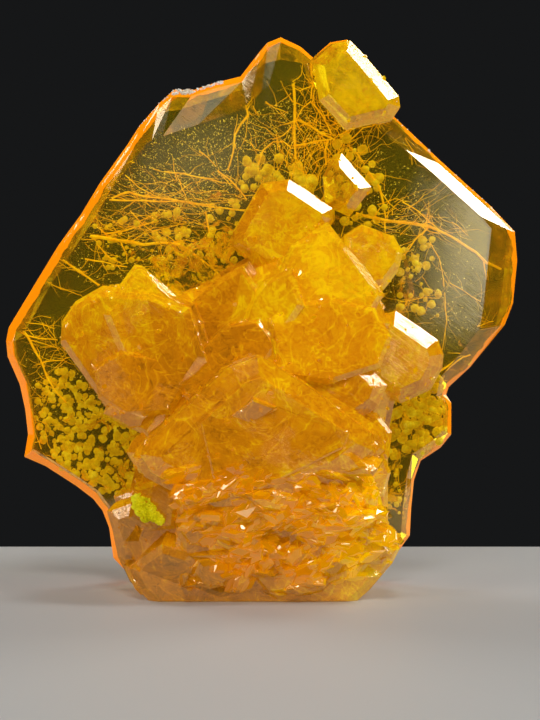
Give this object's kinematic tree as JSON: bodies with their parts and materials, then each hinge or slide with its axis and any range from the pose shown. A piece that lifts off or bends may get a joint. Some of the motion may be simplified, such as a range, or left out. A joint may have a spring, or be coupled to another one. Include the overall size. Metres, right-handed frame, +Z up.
{
  "type": "wulfenite crystal specimen",
  "caption": "Clear orange tabular wulfenite blade with bevelled edges, a rosette of smaller blades on its front, and a flat break at its foot.",
  "frame": {"origin": "on the flat break at the foot, under the front face of the large plate", "axes": "+Z up along the plate, +X to the right and -Y out of its front, towards the viewer"},
  "size_m": [0.0385, 0.0155, 0.0413],
  "materials": {
    "wulfenite": "clear to cloudy orange crystal with a resinous to glassy lustre",
    "mimetite": "fine-grained yellow-green mineral crust"
  },
  "bodies": {
    "root": {"wulfenite_crystals": "wulfenite", "mimetite_crust": "mimetite"}
  },
  "joints": []
}
